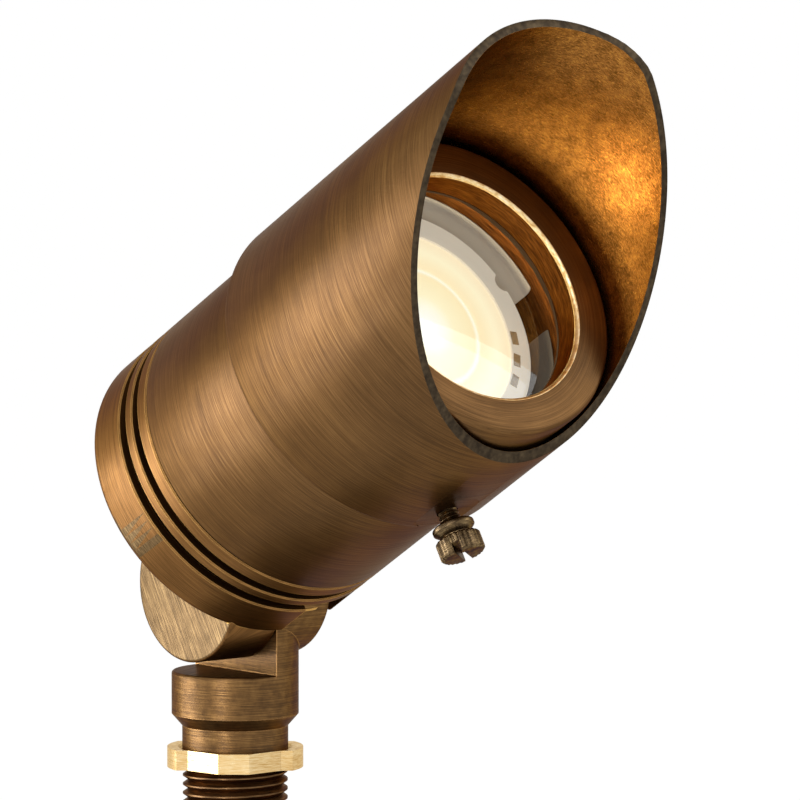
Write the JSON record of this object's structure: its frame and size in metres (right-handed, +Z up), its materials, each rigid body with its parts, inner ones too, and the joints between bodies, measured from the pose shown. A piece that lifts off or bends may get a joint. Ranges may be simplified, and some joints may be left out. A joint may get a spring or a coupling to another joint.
{
  "type": "garden spike spotlight",
  "caption": "Brass garden spotlight: tilting bullet head with sliding glare hood and LED lamp, on a threaded knuckle stem in a ground spike.",
  "frame": {"origin": "on the stem's axis at the ground line, level with the top of the spike's flange", "axes": "+Z up along the stem and the spike; the knuckle's tilt axis is along X; the lamp points along -Y and up"},
  "size_m": [0.0684, 0.124, 0.3806],
  "materials": {
    "spike_plastic": "moulded ABS, satin",
    "cast_brass": "cast brass, aged bronze patina",
    "bare_brass": "bare machined brass",
    "aged_brass": "turned brass, aged bronze patina, brushed",
    "stainless_steel": "plain stainless steel",
    "silicone_rubber": "black silicone",
    "clear_glass": "clear tempered glass",
    "paper_label": "blank vinyl label",
    "screw_brass": "turned brass, dark patina",
    "white_plastic": "white moulded polycarbonate",
    "frosted_optic": "frosted polycarbonate lens, lit warm white",
    "board_white": "white solder mask",
    "plated_pin": "nickel plated",
    "ceramic_white": "unglazed steatite ceramic",
    "lead_insulation": "white silicone sleeving"
  },
  "bodies": {
    "spike": {"ground_spike": "spike_plastic"},
    "stem": {"knuckle_stem": "cast_brass", "knuckle_seal": "silicone_rubber"},
    "nut": {"lock_nut": "bare_brass"},
    "head": {"rear_housing": "aged_brass", "knuckle_bolt": "stainless_steel", "bolt_washer": "stainless_steel", "spring_washer": "stainless_steel", "barrel_seal": "silicone_rubber", "socket_body": "ceramic_white", "socket_contacts": "plated_pin", "socket_bracket": "stainless_steel", "socket_screws": "stainless_steel", "lead_seal": "silicone_rubber", "socket_leads": "lead_insulation"},
    "lamp": {"lamp_rim": "white_plastic", "lamp_optic": "frosted_optic", "lamp_body": "white_plastic", "led_board": "board_white", "lamp_base": "white_plastic", "lamp_pins": "plated_pin"},
    "barrel": {"barrel": "aged_brass", "lens_glass": "clear_glass", "lens_gasket": "silicone_rubber", "lens_retaining_ring": "stainless_steel", "inner_labels": "paper_label"},
    "hood_seal": {"shroud_o_ring": "silicone_rubber"},
    "hood": {"shroud": "aged_brass"},
    "screw": {"thumbscrew": "screw_brass"}
  },
  "joints": [
    {"name": "stem_turn", "type": "hinge", "parent": "spike", "child": "stem", "pos_m": [0, 0, 0], "axis": [0, 0, 1], "range_deg": [-180, 180]},
    {"name": "nut_run", "type": "slide", "parent": "stem", "child": "nut", "axis": [0, 0, 1], "range_m": [-0.0104, 0]},
    {"name": "head_tilt", "type": "hinge", "parent": "stem", "child": "head", "pos_m": [0, 0, 0.058], "axis": [-1, 0, 0], "range_deg": [-40, 115]},
    {"name": "lamp_pull", "type": "slide", "parent": "head", "child": "lamp", "axis": [0, -0.8558, 0.5173], "range_m": [0, 0.0065]},
    {"name": "barrel_off", "type": "slide", "parent": "head", "child": "barrel", "axis": [0, -0.8558, 0.5173], "range_m": [0, 0.055]},
    {"name": "hood_turn", "type": "hinge", "parent": "barrel", "child": "hood_seal", "pos_m": [0, -0.05853, 0.11331], "axis": [0, -0.8558, 0.5173], "continuous": true},
    {"name": "hood_slide", "type": "slide", "parent": "hood_seal", "child": "hood", "axis": [0, -0.8558, 0.5173], "range_m": [-0.006, 0.01]},
    {"name": "screw_turn", "type": "hinge", "parent": "hood", "child": "screw", "pos_m": [0, -0.06422, 0.07702], "axis": [0, -0.5173, -0.8558], "range_deg": [-720, 0]}
  ]
}
